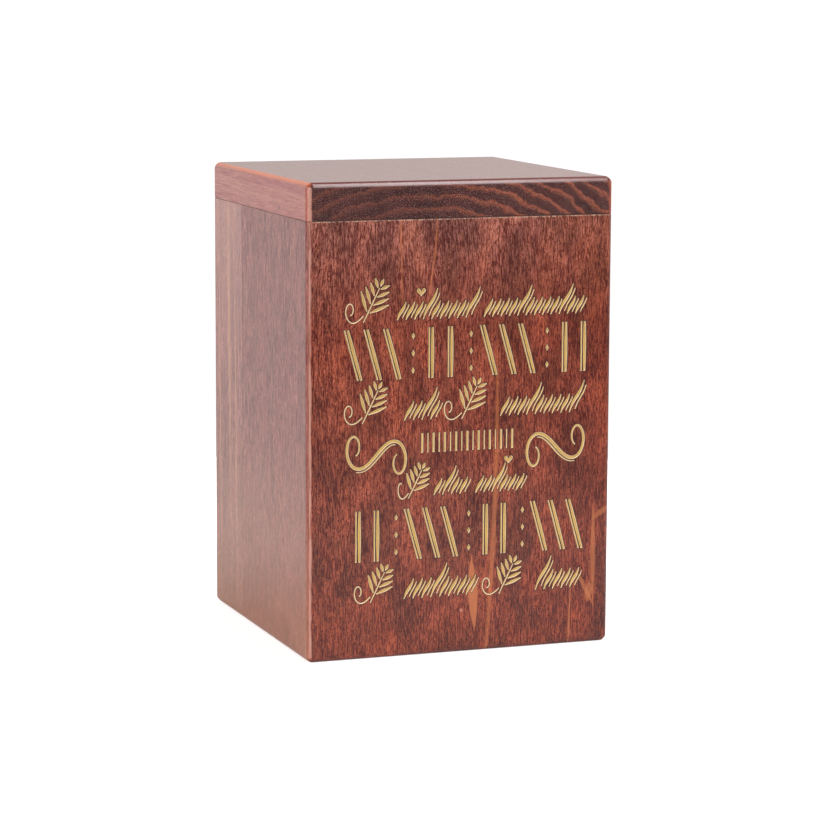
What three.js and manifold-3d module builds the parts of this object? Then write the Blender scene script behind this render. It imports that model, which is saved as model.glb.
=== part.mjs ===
// A wooden cremation urn box: four mitred sides, a bottom board let in from below,
// and a thick lift-off lid whose tongue sits in the mouth. The front is engraved with
// rows of shallow pen strokes, scrolls and two small hearts.
//
// Millimetres. The origin is at the middle of the underside, with X along the front,
// Y from the front to the back and Z up.

import * as THREE from 'three';
import { RoundedBoxGeometry } from 'three/addons/geometries/RoundedBoxGeometry.js';
import { mergeVertices } from 'three/addons/utils/BufferGeometryUtils.js';
import Module from 'manifold-3d';

// The box
const boxWidth = 163;
const boxDepth = 163;
const boxHeight = 240;
const wallThickness = 13;
const edgeRound = 3.5;
const seamEase = 0.4;

// The lid and its tongue
const lidThickness = 19;
const tongueHeight = 6;
const tongueClearance = 0.8;
const tongueRound = 2;
const tongueEase = 1;

// The bottom board, let into the walls from below
const bottomThickness = 10;
const bottomRecess = 2;
const bottomRebate = 6;

// The left side is two strips glued edge to edge, and every glued joint has a fine line
const rearStripDepth = 52;
const glueLine = 0.1;

// The engraved panel on the front: its margins and its pens
const panelLeftMargin = 18;
const panelRightMargin = 13;
const panelTopMargin = 48;
const panelFootMargin = 28;
const engravingDepth = 0.8;
const thickPen = 1.7;
const finePen = 0.75;
const hairPen = 0.45;
const inlineGap = 0.55;
const heartWidth = 4.8;
const dropWidth = 1.9;

// How far the slanted rows lean forwards and the leaning tall strokes back, as slopes
const slant = 0.5;
const backLean = 0.28;

// Worked out from the sizes above
const seamHeight = boxHeight - lidThickness;
const floorHeight = bottomRecess + bottomThickness;
const mouthWidth = boxWidth - 2 * wallThickness;
const mouthDepth = boxDepth - 2 * wallThickness;
const panelWidth = boxWidth - panelLeftMargin - panelRightMargin;
const panelHeight = boxHeight - panelTopMargin - panelFootMargin;

// Cutting solids reach this far past the surface that they cut, and an end of one that
// is to miss the box altogether stops well past it
const spare = 1;
const wellPast = 2 * (spare + seamEase);

const wasm = await Module();
wasm.setup();

// A three.js geometry as a solid that can be joined and cut
function toSolid(geometry) {
  const bare = geometry.clone();
  bare.deleteAttribute('normal');
  bare.deleteAttribute('uv');
  const merged = mergeVertices(bare, 1e-5);
  return new wasm.Manifold(new wasm.Mesh({
    numProp: 3,
    vertProperties: new Float32Array(merged.attributes.position.array),
    triVerts: new Uint32Array(merged.index.array),
  }));
}

function toGeometry(solid) {
  const mesh = solid.getMesh();
  const geometry = new THREE.BufferGeometry();
  geometry.setAttribute('position', new THREE.BufferAttribute(mesh.vertProperties, mesh.numProp));
  geometry.setIndex(new THREE.BufferAttribute(mesh.triVerts, 1));
  geometry.computeVertexNormals();
  return geometry;
}

// A plain block between two corners
function block(low, high) {
  const geometry = new THREE.BoxGeometry(high[0] - low[0], high[1] - low[1], high[2] - low[2]);
  geometry.translate((low[0] + high[0]) / 2, (low[1] + high[1]) / 2, (low[2] + high[2]) / 2);
  return toSolid(geometry);
}

// A block centred on the upright axis, between two heights
function centredBlock(width, depth, low, high) {
  return block([-width / 2, -depth / 2, low], [width / 2, depth / 2, high]);
}

// An upright block with round corners, and its top and foot edges eased at 45 degrees
function easedBlock(width, depth, low, high, cornerRound, ease) {
  const x = width / 2;
  const y = depth / 2;
  const r = cornerRound;
  const outline = new THREE.Shape();
  outline.moveTo(-x + r, -y);
  outline.lineTo(x - r, -y);
  outline.absarc(x - r, -y + r, r, -Math.PI / 2, 0);
  outline.lineTo(x, y - r);
  outline.absarc(x - r, y - r, r, 0, Math.PI / 2);
  outline.lineTo(-x + r, y);
  outline.absarc(-x + r, y - r, r, Math.PI / 2, Math.PI);
  outline.lineTo(-x, -y + r);
  outline.absarc(-x + r, -y + r, r, Math.PI, 1.5 * Math.PI);
  const geometry = new THREE.ExtrudeGeometry(outline, {
    depth: high - low - 2 * ease,
    curveSegments: 5,
    bevelEnabled: true,
    bevelSegments: 1,
    bevelSize: ease,
    bevelThickness: ease,
    bevelOffset: -ease,
  });
  geometry.translate(0, 0, low + ease);
  return toSolid(geometry);
}

// The whole box's outside, rounded over on every edge
function roundedOutside() {
  const geometry = new RoundedBoxGeometry(boxWidth, boxDepth, boxHeight, 3, edgeRound);
  geometry.translate(0, 0, boxHeight / 2);
  return toSolid(geometry);
}

// The outside between two heights, with its edges there eased
function outsideBetween(low, high) {
  const cutter = easedBlock(
    boxWidth + 2 * spare,
    boxDepth + 2 * spare,
    low,
    high,
    edgeRound + spare,
    seamEase + spare,
  );
  return roundedOutside().intersect(cutter);
}

// The four walls in one, open at the top, with the rebate for the bottom board
function wallsTogether() {
  const rebateWidth = mouthWidth + 2 * bottomRebate;
  const rebateDepth = mouthDepth + 2 * bottomRebate;
  return outsideBetween(-wellPast, seamHeight)
    .subtract(centredBlock(mouthWidth, mouthDepth, -spare, seamHeight + spare))
    .subtract(centredBlock(rebateWidth, rebateDepth, -spare, floorHeight));
}

// What one mitred side keeps of the walls: `long` is its length and `across` the
// distance between it and the side that faces it, and `turn` swings it round from the front
function mitreBlock(long, across, turn) {
  const gap = glueLine / Math.SQRT2;
  const outer = long / 2 + spare - gap;
  const inner = long / 2 - wallThickness - spare - gap;
  const plan = new THREE.Shape();
  plan.moveTo(-outer, -across / 2 - spare);
  plan.lineTo(outer, -across / 2 - spare);
  plan.lineTo(inner, -across / 2 + wallThickness + spare);
  plan.lineTo(-inner, -across / 2 + wallThickness + spare);
  plan.closePath();
  const geometry = new THREE.ExtrudeGeometry(plan, { depth: boxHeight, bevelEnabled: false });
  geometry.translate(0, 0, -spare);
  geometry.rotateZ(turn);
  return toSolid(geometry);
}

// A place on the engraved panel, from shares of its width and height, on the front face
function onPanel(across, up) {
  return new THREE.Vector2(
    -boxWidth / 2 + panelLeftMargin + across * panelWidth,
    panelFootMargin + up * panelHeight,
  );
}

// The outline that a pen draws along a line of points, out on one side and back on the other
function penOutline(points, widthAt) {
  const left = [];
  const right = [];
  const last = points.length - 1;
  points.forEach((point, i) => {
    const ahead = points[Math.min(i + 1, last)];
    const behind = points[Math.max(i - 1, 0)];
    const along = ahead.clone().sub(behind).normalize();
    const half = widthAt(i / last) / 2;
    left.push(new THREE.Vector2(point.x - along.y * half, point.y + along.x * half));
    right.push(new THREE.Vector2(point.x + along.y * half, point.y - along.x * half));
  });
  return new THREE.Shape([...left, ...right.reverse()]);
}

// A pen that is thin at both ends of its stroke and swells between them
function swelling(thin, thick) {
  return (t) => thin + (thick - thin) * Math.sin(Math.PI * t) ** 1.2;
}

// A single stroke between two points, bowed to its left by a share of its length
function bowedStroke(foot, head, bow, pen, steps) {
  const aside = new THREE.Vector2(foot.y - head.y, head.x - foot.x).multiplyScalar(bow);
  const points = [];
  for (let i = 0; i <= steps; i += 1) {
    const t = i / steps;
    const point = foot.clone().lerp(head, t);
    points.push(point.addScaledVector(aside, Math.sin(2 * Math.PI * t)));
  }
  return penOutline(points, pen);
}

// A line that sets out in a heading and curls ever tighter, through `turns` in all
function curlPoints(heading, turns, steps) {
  const substeps = 8;
  const tightening = 2.1;
  const points = [new THREE.Vector2(0, 0)];
  let place = points[0];
  let before = 0;
  for (let i = 1; i <= steps; i += 1) {
    const along = (i / steps) ** 0.7;
    const step = (along - before) / substeps;
    for (let j = 0; j < substeps; j += 1) {
      const walked = before + step * (j + 0.5);
      const angle = heading + turns * 2 * Math.PI * walked ** tightening;
      place = new THREE.Vector2(place.x + Math.cos(angle) * step, place.y + Math.sin(angle) * step);
    }
    points.push(place);
    before = along;
  }
  return points;
}

// Stretches a line of points so that it fills the field between two corners
function fillField(points, start, end) {
  const bounds = new THREE.Box2().setFromPoints(points);
  const size = bounds.getSize(new THREE.Vector2());
  return points.map((point) => new THREE.Vector2(
    THREE.MathUtils.lerp(start.x, end.x, (point.x - bounds.min.x) / size.x),
    THREE.MathUtils.lerp(start.y, end.y, (point.y - bounds.min.y) / size.y),
  ));
}

function heartOutline(centre, width) {
  const points = [];
  const steps = 16;
  for (let i = 0; i < steps; i += 1) {
    const a = (2 * Math.PI * i) / steps;
    const x = 16 * Math.sin(a) ** 3;
    const y = 13 * Math.cos(a) - 5 * Math.cos(2 * a) - 2 * Math.cos(3 * a) - Math.cos(4 * a);
    points.push(new THREE.Vector2(centre.x + (x * width) / 32, centre.y + (y * width) / 32));
  }
  return new THREE.Shape(points.reverse());
}

function dropOutline(centre, width, height) {
  return new THREE.Shape([
    new THREE.Vector2(centre.x, centre.y - height / 2),
    new THREE.Vector2(centre.x + width / 2, centre.y),
    new THREE.Vector2(centre.x, centre.y + height / 2),
    new THREE.Vector2(centre.x - width / 2, centre.y),
  ]);
}

// A row of slanted strokes in spans, each a thick stroke with a fine one behind it.
// Every few strokes one rises above the rest.
function slantedRow({ spans, foot, height, pitch, rise }) {
  const outlines = [];
  const thick = swelling(hairPen, thickPen);
  const fine = swelling(hairPen, finePen);
  let count = 0;
  for (const [from, to] of spans) {
    const beats = Math.max(1, Math.round((to - from) / pitch));
    const step = ((to - from) * panelWidth) / beats;
    for (let i = 0; i < beats; i += 1) {
      const up = height * panelHeight * (count % 5 === rise ? 1.7 : 1);
      const start = onPanel(from + ((to - from) * i) / beats, foot);
      const head = start.clone().add(new THREE.Vector2(up * slant, up));
      outlines.push(bowedStroke(start, head, 0.025, thick, 4));
      const fineFoot = start.clone().add(new THREE.Vector2(step * 0.5 + up * slant * 0.1, up * 0.1));
      const fineHead = fineFoot.clone().add(new THREE.Vector2(up * slant * 0.75, up * 0.75));
      outlines.push(bowedStroke(fineFoot, fineHead, 0.02, fine, 2));
      count += 1;
    }
  }
  return outlines;
}

// A tall stroke with a fine one close beside it, from foot to head
function doubleStroke(foot, head) {
  const beside = new THREE.Vector2(thickPen / 2 + inlineGap + finePen / 2, 0);
  return [
    bowedStroke(foot, head, 0, (t) => thickPen * (0.65 + 0.35 * Math.sin(Math.PI * t)), 2),
    bowedStroke(foot.clone().sub(beside), head.clone().sub(beside), 0, () => finePen, 1),
  ];
}

// A row of tall marks, worked out along the row as a border is: three strokes that lean
// back and two upright ones in turn, with a column of drops between the groups
function tallRow({ from, to, foot, height, groups, leanFirst }) {
  const outlines = [];
  const up = new THREE.Vector2(0, height * panelHeight);
  const groupSizes = [...Array(groups).keys()].map((i) => (i % 2 === leanFirst ? 2 : 3));
  const places = groupSizes.reduce((sum, size) => sum + size + 1, -1) - 1;
  const at = (place) => onPanel(from + ((to - from) * place) / places, foot);
  let place = 0;
  groupSizes.forEach((size, group) => {
    const aside = new THREE.Vector2(size === 3 ? (up.y * backLean) / 2 : 0, 0);
    for (let i = 0; i < size; i += 1) {
      const middle = at(place);
      outlines.push(...doubleStroke(middle.clone().add(aside), middle.clone().sub(aside).add(up)));
      place += 1;
    }
    if (group < groups - 1) {
      for (const share of [0.16, 0.5, 0.84]) {
        outlines.push(dropOutline(at(place).addScaledVector(up, share), dropWidth, dropWidth * 1.8));
      }
      place += 1;
    }
  });
  return outlines;
}

// A row of small upright strokes, thick and fine in turn
function smallRow({ from, to, foot, height, count }) {
  const outlines = [];
  for (let i = 0; i < count; i += 1) {
    const start = onPanel(from + ((to - from) * (i + 0.5)) / count, foot);
    const head = start.clone().add(new THREE.Vector2(0, height * panelHeight));
    const pen = i % 2 === 0 ? thickPen * 0.65 : finePen * 0.8;
    outlines.push(bowedStroke(start, head, 0, () => pen, 1));
  }
  return outlines;
}

// A slanted sprig in its field: a stem, pairs of leaves that shorten towards its tip,
// and a fine tendril that curls away from its foot
function sprig({ from, to }) {
  const pairs = 4;
  const low = onPanel(...from);
  const high = onPanel(...to);
  const height = high.y - low.y;
  const foot = new THREE.Vector2((low.x + high.x) / 2 - (height * slant) / 2, low.y);
  const along = (t) => new THREE.Vector2(foot.x + height * slant * t, foot.y + height * t);
  const leafPen = swelling(hairPen, thickPen);
  const outlines = [bowedStroke(along(0), along(0.8), 0, swelling(hairPen, finePen), 2)];
  for (let i = 0; i < pairs; i += 1) {
    const t = 0.2 + (0.55 * i) / (pairs - 1);
    const reach = height * (0.56 - 0.09 * i);
    for (const side of [-1, 1]) {
      const angle = Math.atan2(1, slant) + side * 0.75;
      const tip = new THREE.Vector2(Math.cos(angle), Math.sin(angle)).multiplyScalar(reach);
      const root = along(t).add(tip.clone().setLength(finePen * 1.6));
      outlines.push(bowedStroke(root, along(t).add(tip), 0, leafPen, 2));
    }
  }
  outlines.push(bowedStroke(along(0.84), along(1), 0, leafPen, 2));
  const curlHead = new THREE.Vector2(low.x, low.y + height * 0.45);
  const tendril = fillField(curlPoints(-0.5, 1.1, 11), foot, curlHead);
  outlines.push(penOutline(tendril, () => hairPen * 1.3));
  return outlines;
}

// A long scroll in its field with a curl at each end, and a fine line beside its stem
function scroll({ from, to }) {
  const half = curlPoints(0.55, -1.05, 14);
  const whole = [...half.slice(1).reverse().map((point) => point.clone().negate()), ...half];
  const points = fillField(whole, onPanel(...from), onPanel(...to));
  const middle = half.length - 1;
  const stem = points.slice(middle - 3, middle + 4);
  const aside = (thickPen / 2 + inlineGap + finePen / 2) * Math.sign(to[0] - from[0]);
  const beside = stem.map((point, i) => {
    const ahead = stem[Math.min(i + 1, stem.length - 1)];
    const behind = stem[Math.max(i - 1, 0)];
    const along = ahead.clone().sub(behind).normalize();
    return new THREE.Vector2(point.x + along.y * aside, point.y - along.x * aside);
  });
  return [
    penOutline(points, swelling(finePen, thickPen)),
    penOutline(beside, swelling(hairPen, finePen)),
  ];
}

// Everything that is engraved, as outlines on the front face
function engravedOutlines() {
  return [
    ...slantedRow({ spans: [[0.22, 0.53], [0.57, 0.98]], foot: 0.872, height: 0.055, pitch: 0.035, rise: 3 }),
    ...tallRow({ from: 0.05, to: 0.985, foot: 0.692, height: 0.155, groups: 4, leanFirst: 1 }),
    ...slantedRow({ spans: [[0.25, 0.39], [0.64, 0.96]], foot: 0.564, height: 0.058, pitch: 0.036, rise: 2 }),
    ...smallRow({ from: 0.31, to: 0.7, foot: 0.462, height: 0.06, count: 17 }),
    ...slantedRow({ spans: [[0.37, 0.51], [0.54, 0.74]], foot: 0.328, height: 0.052, pitch: 0.034, rise: 1 }),
    ...tallRow({ from: 0.07, to: 0.955, foot: 0.133, height: 0.158, groups: 4, leanFirst: 0 }),
    ...slantedRow({ spans: [[0.25, 0.54], [0.79, 0.97]], foot: 0.01, height: 0.062, pitch: 0.036, rise: 3 }),
    ...sprig({ from: [0.015, 0.868], to: [0.235, 0.998] }),
    ...sprig({ from: [0.01, 0.56], to: [0.23, 0.685] }),
    ...sprig({ from: [0.41, 0.56], to: [0.63, 0.685] }),
    ...sprig({ from: [0.225, 0.322], to: [0.375, 0.43] }),
    ...sprig({ from: [0.05, 0.006], to: [0.25, 0.122] }),
    ...sprig({ from: [0.57, 0.006], to: [0.78, 0.122] }),
    ...scroll({ from: [0.02, 0.402], to: [0.255, 0.522] }),
    ...scroll({ from: [0.985, 0.402], to: [0.75, 0.522] }),
    heartOutline(onPanel(0.315, 0.956), heartWidth),
    heartOutline(onPanel(0.674, 0.428), heartWidth),
  ];
}

// Cuts the outlines into the front face
function engrave(board) {
  const cutters = engravedOutlines().map((outline) => {
    const geometry = new THREE.ExtrudeGeometry(outline, {
      depth: engravingDepth + spare,
      bevelEnabled: false,
    });
    geometry.translate(0, 0, boxDepth / 2 - engravingDepth);
    geometry.rotateX(Math.PI / 2);
    return toSolid(geometry);
  });
  return cutters.reduce((cut, cutter) => cut.subtract(cutter), board);
}

function lidSolid() {
  const tongue = easedBlock(
    mouthWidth - 2 * tongueClearance,
    mouthDepth - 2 * tongueClearance,
    seamHeight - tongueHeight,
    seamHeight + lidThickness / 2,
    tongueRound,
    tongueEase,
  );
  return outsideBetween(seamHeight, boxHeight + wellPast).add(tongue);
}

function bottomSolid() {
  const width = mouthWidth + 2 * bottomRebate - 2 * glueLine;
  const depth = mouthDepth + 2 * bottomRebate - 2 * glueLine;
  return centredBlock(width, depth, bottomRecess, floorHeight);
}

// The left wall's strips meet here
const stripJoint = boxDepth / 2 - rearStripDepth;

const walls = wallsTogether();
const leftBoard = walls.intersect(mitreBlock(boxDepth, boxWidth, -Math.PI / 2));
const behindJoint = block(
  [-boxWidth, stripJoint + glueLine / 2, -spare],
  [0, boxDepth, boxHeight],
);
const beforeJoint = block(
  [-boxWidth, -boxDepth, -spare],
  [0, stripJoint - glueLine / 2, boxHeight],
);

const solids = {
  front_board: engrave(walls.intersect(mitreBlock(boxWidth, boxDepth, 0))),
  right_board: walls.intersect(mitreBlock(boxDepth, boxWidth, Math.PI / 2)),
  back_board: walls.intersect(mitreBlock(boxWidth, boxDepth, Math.PI)),
  left_front_strip: leftBoard.intersect(beforeJoint),
  left_rear_strip: leftBoard.intersect(behindJoint),
  bottom_board: bottomSolid(),
  lid: lidSolid(),
};

// Stained and lacquered solid wood, a little different on each board
const stains = {
  front_board: 0x7a4037,
  right_board: 0x7d453a,
  back_board: 0x764038,
  left_front_strip: 0x8a5a4c,
  left_rear_strip: 0x9a6650,
  bottom_board: 0x6a4034,
  lid: 0x7c4c44,
};

const urn = new THREE.Group();
for (const [name, solid] of Object.entries(solids)) {
  const material = new THREE.MeshStandardMaterial({
    color: stains[name],
    roughness: 0.35,
    metalness: 0,
  });
  const mesh = new THREE.Mesh(toGeometry(solid), material);
  mesh.name = name;
  urn.add(mesh);
}

export default urn;
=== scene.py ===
"""The looks of a wooden cremation urn box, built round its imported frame.

Four mitred boards, a bottom board and a lift-off lid, stained red and sprayed with satin
lacquer. The front is engraved with rows of shallow pen strokes that are painted gold.
"""

import math
from functools import partial

import bmesh
import bpy
from mathutils import Matrix, Vector


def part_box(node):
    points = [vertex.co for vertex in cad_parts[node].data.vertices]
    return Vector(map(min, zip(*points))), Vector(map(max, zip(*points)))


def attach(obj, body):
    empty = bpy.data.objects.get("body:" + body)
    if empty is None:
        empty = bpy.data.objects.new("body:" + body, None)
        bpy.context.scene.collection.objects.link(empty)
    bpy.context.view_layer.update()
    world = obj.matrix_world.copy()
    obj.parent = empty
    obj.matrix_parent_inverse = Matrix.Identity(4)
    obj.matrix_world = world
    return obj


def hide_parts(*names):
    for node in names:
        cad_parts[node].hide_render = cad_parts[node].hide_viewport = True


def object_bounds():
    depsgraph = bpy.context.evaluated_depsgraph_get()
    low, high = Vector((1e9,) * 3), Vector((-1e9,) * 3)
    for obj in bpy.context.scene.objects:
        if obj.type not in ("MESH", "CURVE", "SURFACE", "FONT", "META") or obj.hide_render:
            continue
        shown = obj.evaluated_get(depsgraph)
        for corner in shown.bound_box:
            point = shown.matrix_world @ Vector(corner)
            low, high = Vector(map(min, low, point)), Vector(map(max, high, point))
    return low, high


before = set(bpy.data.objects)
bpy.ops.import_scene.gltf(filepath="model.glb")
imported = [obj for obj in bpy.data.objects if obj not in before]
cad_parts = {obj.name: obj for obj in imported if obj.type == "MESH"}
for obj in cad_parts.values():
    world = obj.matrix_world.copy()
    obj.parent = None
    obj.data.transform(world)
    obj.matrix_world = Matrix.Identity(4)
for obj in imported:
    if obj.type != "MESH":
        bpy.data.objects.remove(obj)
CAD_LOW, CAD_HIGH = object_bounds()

bl_info = {
    "name": "Cremation urn box",
    "version": (1, 0, 0),
    "blender": (4, 5, 0),
    "location": "View3D > Sidebar > Urn box",
    "description": "Builds a stained wooden urn box with a gold-painted engraving",
    "category": "Object",
}

MM = 0.001

# The frame's own sizes. X runs along the front, Y from front to back and Z up.
HALF_WIDTH = CAD_HIGH.x
HALF_DEPTH = CAD_HIGH.y
TOP = CAD_HIGH.z
FRONT_LOW, FRONT_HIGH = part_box("front_board")
SEAM = FRONT_HIGH.z
WALL = FRONT_HIGH.y - FRONT_LOW.y
BOTTOM_LOW, BOTTOM_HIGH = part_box("bottom_board")
STRIP_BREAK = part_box("left_front_strip")[1].y
STRIP_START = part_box("left_rear_strip")[0].y
GLUE_LINE = STRIP_START - STRIP_BREAK
TONGUE_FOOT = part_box("lid")[0].z

# Cutting blocks reach this far past what they cut
SPARE = 2 * MM

# How deep the scorched rim round a groove dips
SCORCH_DEPTH = 0.08 * MM

# How deep drops and hearts are, as shares of the engraving's depth
DROP_DEPTH = 0.6
HEART_DEPTH = 0.75

# How tall a drop is for its width
DROP_STRETCH = 1.8

# How wide a sprig's tendril needs to be to curl right round
TENDRIL_TURN = 8 * MM

# How far the grain of the wood wanders to and fro
WANDER = 6 * MM

# How dark gold paint is where it lies thin, as a share of its colour
THIN_PAINT = 0.8

# The lid's growth rings: their middle lies far below the lid
RING_CENTRE = Vector((-20 * MM, 0, TOP - 128 * MM))
RING_SPACING = 6.4 * MM

# How many flat steps a curve gets
EDGE_STEPS = 10
EASE_STEPS = 2
CURVE_STEPS = 4

# The camera: its place in metres, its heading, downward tilt and roll in degrees, and its
# lens and film width in millimetres
CAMERA_PLACE = (-0.545606, -1.508215, 0.350785)
CAMERA_HEADING = -20
CAMERA_TILT = 8.482
CAMERA_ROLL = 0.229
CAMERA_LENS = 134.208
CAMERA_FILM = 36

# How far the studio floor reaches round the box
FLOOR_RADIUS = 0.55


def linear(code):
    """A colour as the renderer wants it, from an sRGB hex value."""
    channels = [(code >> shift & 255) / 255 for shift in (16, 8, 0)]
    return [c / 12.92 if c <= 0.04045 else ((c + 0.055) / 1.055) ** 2.4 for c in channels]


def length(name, description, default):
    """A length that a user can change, in metres."""
    return bpy.props.FloatProperty(
        name=name, description=description, default=default, min=0, unit="LENGTH", precision=5
    )


def colour(name, description, code):
    """A colour that a user can change."""
    return bpy.props.FloatVectorProperty(
        name=name, description=description, default=linear(code), min=0, max=1, subtype="COLOR"
    )


class UrnSizes(bpy.types.PropertyGroup):
    """Sizes of the box that its frame doesn't give"""

    edge_round: length("Edge round", "Radius of the box's outer edges", 3.5 * MM)
    seam_ease: length("Seam ease", "How far the edges at the seam are eased", 0.4 * MM)
    tongue_clearance: length("Tongue clearance", "Gap round the lid's tongue", 0.8 * MM)
    tongue_round: length("Tongue round", "Radius of the tongue's corners", 2 * MM)
    tongue_ease: length("Tongue ease", "How far the tongue's foot is eased", 1 * MM)
    rebate: length("Rebate", "How far the bottom board is let into the walls", 6 * MM)


class UrnEngraving(bpy.types.PropertyGroup):
    """The engraved panel on the front and its pens"""

    left_margin: length("Left margin", "From the left edge to the panel", 18 * MM)
    right_margin: length("Right margin", "From the panel to the right edge", 13 * MM)
    top_margin: length("Top margin", "From the top of the lid to the panel", 48 * MM)
    foot_margin: length("Foot margin", "From the underside to the panel", 28 * MM)
    depth: length("Depth", "Depth of the thickest strokes", 0.8 * MM)
    thick_pen: length("Thick pen", "Width of a thick stroke", 1.7 * MM)
    fine_pen: length("Fine pen", "Width of a fine stroke", 0.75 * MM)
    hair_pen: length("Hair pen", "Width of a stroke's thin end", 0.45 * MM)
    inline_gap: length("Inline gap", "Wood left between a double stroke's two lines", 0.55 * MM)
    heart_width: length("Heart width", "Width of a heart", 4.8 * MM)
    drop_width: length("Drop width", "Width of a drop", 1.9 * MM)
    scorch: length("Scorched rim", "Width of the burnt edge round the deepest strokes", 0.5 * MM)
    wall_slope: length("Wall slope", "How far a groove's walls lean in", 0.19 * MM)
    slant: bpy.props.FloatProperty(
        name="Slant", description="How far the slanted rows lean forwards", default=0.5
    )
    back_lean: bpy.props.FloatProperty(
        name="Back lean", description="How far the leaning tall strokes lean back", default=0.28
    )


class UrnColours(bpy.types.PropertyGroup):
    """Colours of the wood, its stain and the paint"""

    deep_stain: colour("Deep stain", "Where the stain has sunk in most", 0x4E1816)
    stain: colour("Stain", "The stain on most of the wood", 0x7C3B33)
    thin_stain: colour("Thin stain", "Fibres that took little stain", 0xB87869)
    bare_streak: colour("Pale streak", "Hard grain lines that the stain hardly colours", 0xBC6E42)
    # Painted shade on the front: the next two colours darken and warm it below its top and again
    # towards its foot
    low_painted_shade: colour("Low tint", "Deepens and warms the front's stain below its top", 0xF2CAB2)
    foot_painted_shade: colour("Foot tint", "Deepens and warms the front's stain at its foot", 0xF6E6D8)
    # Darkens the front towards the right
    right_tint: colour("Right tint", "Deepens the front's stain towards the right", 0xEADAD6)
    side_stain: colour("Side stain", "The left side's front strip", 0x8A2F39)
    side_bloom: colour("Side bloom", "Where the front strip's stain is thin", 0x90544E)
    rear_stain: colour("Rear strip's stain", "The left side's rear strip, a paler wood", 0xA8625A)
    # Painted reflection: a pale grey-pink laid up the rear strip towards its top
    rear_painted_reflection: colour("Rear strip's bloom", "Where the rear strip fades up its height", 0xD09C96)
    # Besides pale streaks, this colour paints light on the left strips, paler and warmer towards
    # their foot
    side_pale: colour("Side, pale", "Pale streaks on the left side", 0xC08A66)
    lid_stain: colour("Lid's stain", "The lid's sides, a paler wood", 0xA46856)
    lid_top: colour("Lid's top", "The top, stained more evenly", 0x704E44)
    end_grain: colour("End grain", "The dark ends of the lid", 0x381618)
    end_pore: colour("End grain pores", "Open pores and cracks on the lid's ends", 0x100608)
    end_ring: colour("End grain rings", "Growth rings on the lid's ends", 0xA85A40)
    end_speck: colour("End grain specks", "Cut pores on the lid's ends", 0xBC948C)
    # Painted dark reflection: a dark band on the upper part of the lid's rounded top front edge
    painted_dark_reflection: colour("Dark edge", "The lid's front and rear top edges", 0x5A2420)
    worn_edge: colour("Worn edge", "Where the lid's side edges are rubbed thin", 0xC76C46)
    rubbed_red: colour("Rubbed red", "The stain beside a bare edge", 0xA84A30)
    bare_edge: colour("Bare edge", "Where an upright edge is rubbed bare", 0xC78E7E)
    gold: colour("Gold paint", "The paint on the floors of the grooves", 0xD4AE66)
    # Painted highlight: a pale cream on the groove walls so the strokes' edges look lit, and the
    # dotted line under the seam
    gold_painted_highlight: colour("Gold paint's edge", "The paler paint up a groove's walls", 0xFFE6C4)
    # Besides the scorched rims and the pin knot, this colour paints shade: a dark line along the
    # lid's lower edge at the seam
    scorch: colour("Scorch", "Wood burnt by the engraving tool", 0x2E1A10)
    floor: colour("Floor", "The studio floor", 0xF4F4F4)


def node(tree, kind, settings=(), inputs=(), output=0):
    """Adds a node, feeds its sockets with values or other outputs, and gives one output."""
    made = tree.nodes.new(kind)
    for name, value in dict(settings).items():
        setattr(made, name, value)
    for socket, value in dict(inputs).items():
        if isinstance(value, bpy.types.NodeSocket):
            tree.links.new(value, made.inputs[socket])
        else:
            made.inputs[socket].default_value = value
    return made.outputs[output] if made.outputs else None


# The sockets of a Mix node that mixes colours, and settings that many nodes share
MIX_A, MIX_B, MIXED = 6, 7, 2
COLOURS = {"data_type": "RGBA"}
ADD, SUBTRACT, MULTIPLY, MULTIPLY_ADD, ABSOLUTE, FRACTION = (
    {"operation": name}
    for name in ("ADD", "SUBTRACT", "MULTIPLY", "MULTIPLY_ADD", "ABSOLUTE", "FRACT")
)


def opaque(shade):
    """A colour with full alpha, for a node's socket."""
    return (*shade, 1)


def new_material(name):
    """An empty material and its node tree."""
    material = bpy.data.materials.new(name)
    material.use_nodes = True
    material.node_tree.nodes.clear()
    return material, material.node_tree


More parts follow.
